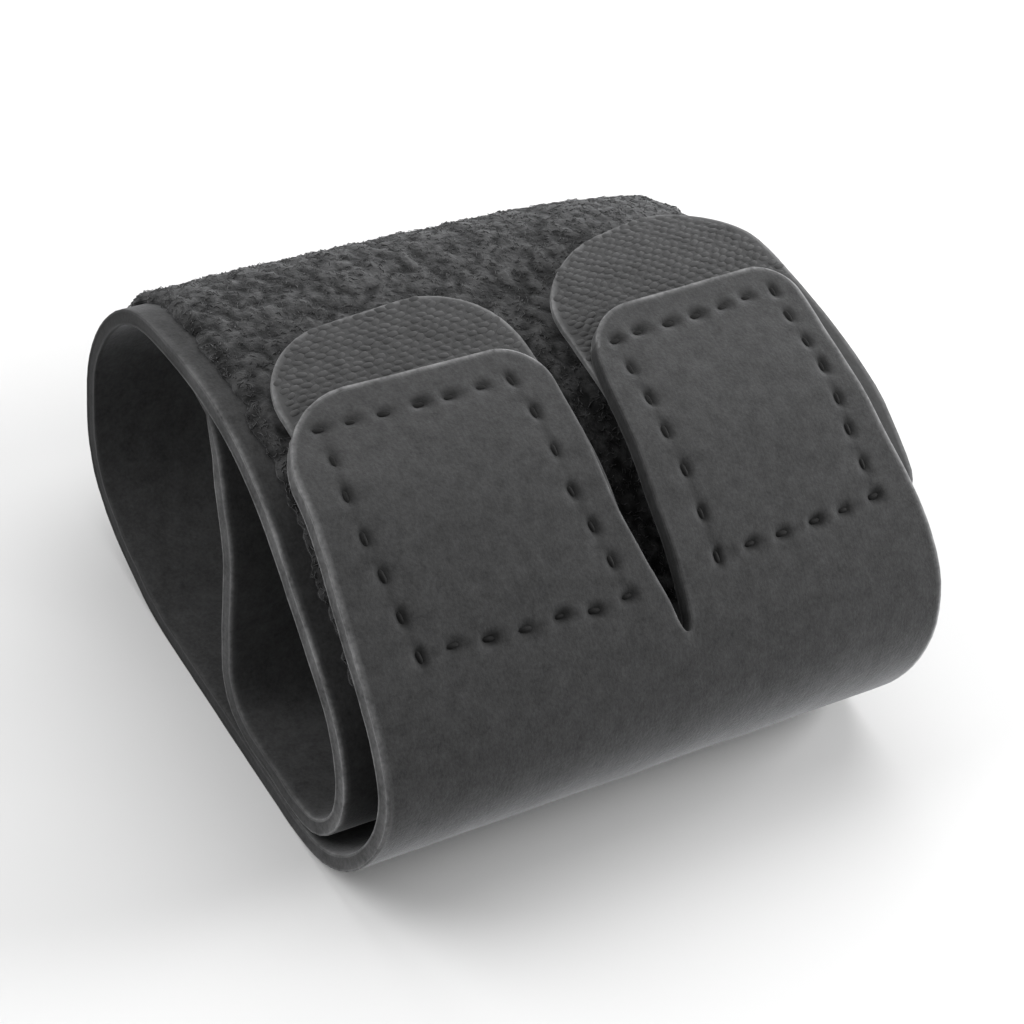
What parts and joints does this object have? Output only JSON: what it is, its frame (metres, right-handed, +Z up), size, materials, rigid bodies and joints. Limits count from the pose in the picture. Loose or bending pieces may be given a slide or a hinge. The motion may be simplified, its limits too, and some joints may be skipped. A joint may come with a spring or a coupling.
{
  "type": "finger support",
  "caption": "Spiral-wound neoprene finger wrap with side-by-side finger pockets, closed by hook tabs on a loop-pile panel.",
  "frame": {"origin": "on the table, under the middle of the wrap's overall box", "axes": "+X along the fingers from the near opening to the far one, +Y from the flap's front fold to the back fold, +Z up from the table"},
  "size_m": [0.0526, 0.0474, 0.0269],
  "materials": {
    "neoprene": "matte jersey-faced neoprene",
    "loop_pile": "brushed loop pile",
    "hook_tape": "woven tape back"
  },
  "bodies": {
    "root": {"wrap_sheet": "neoprene", "pile_panel": "loop_pile", "near_hook_tape": "hook_tape", "far_hook_tape": "hook_tape"}
  },
  "joints": []
}
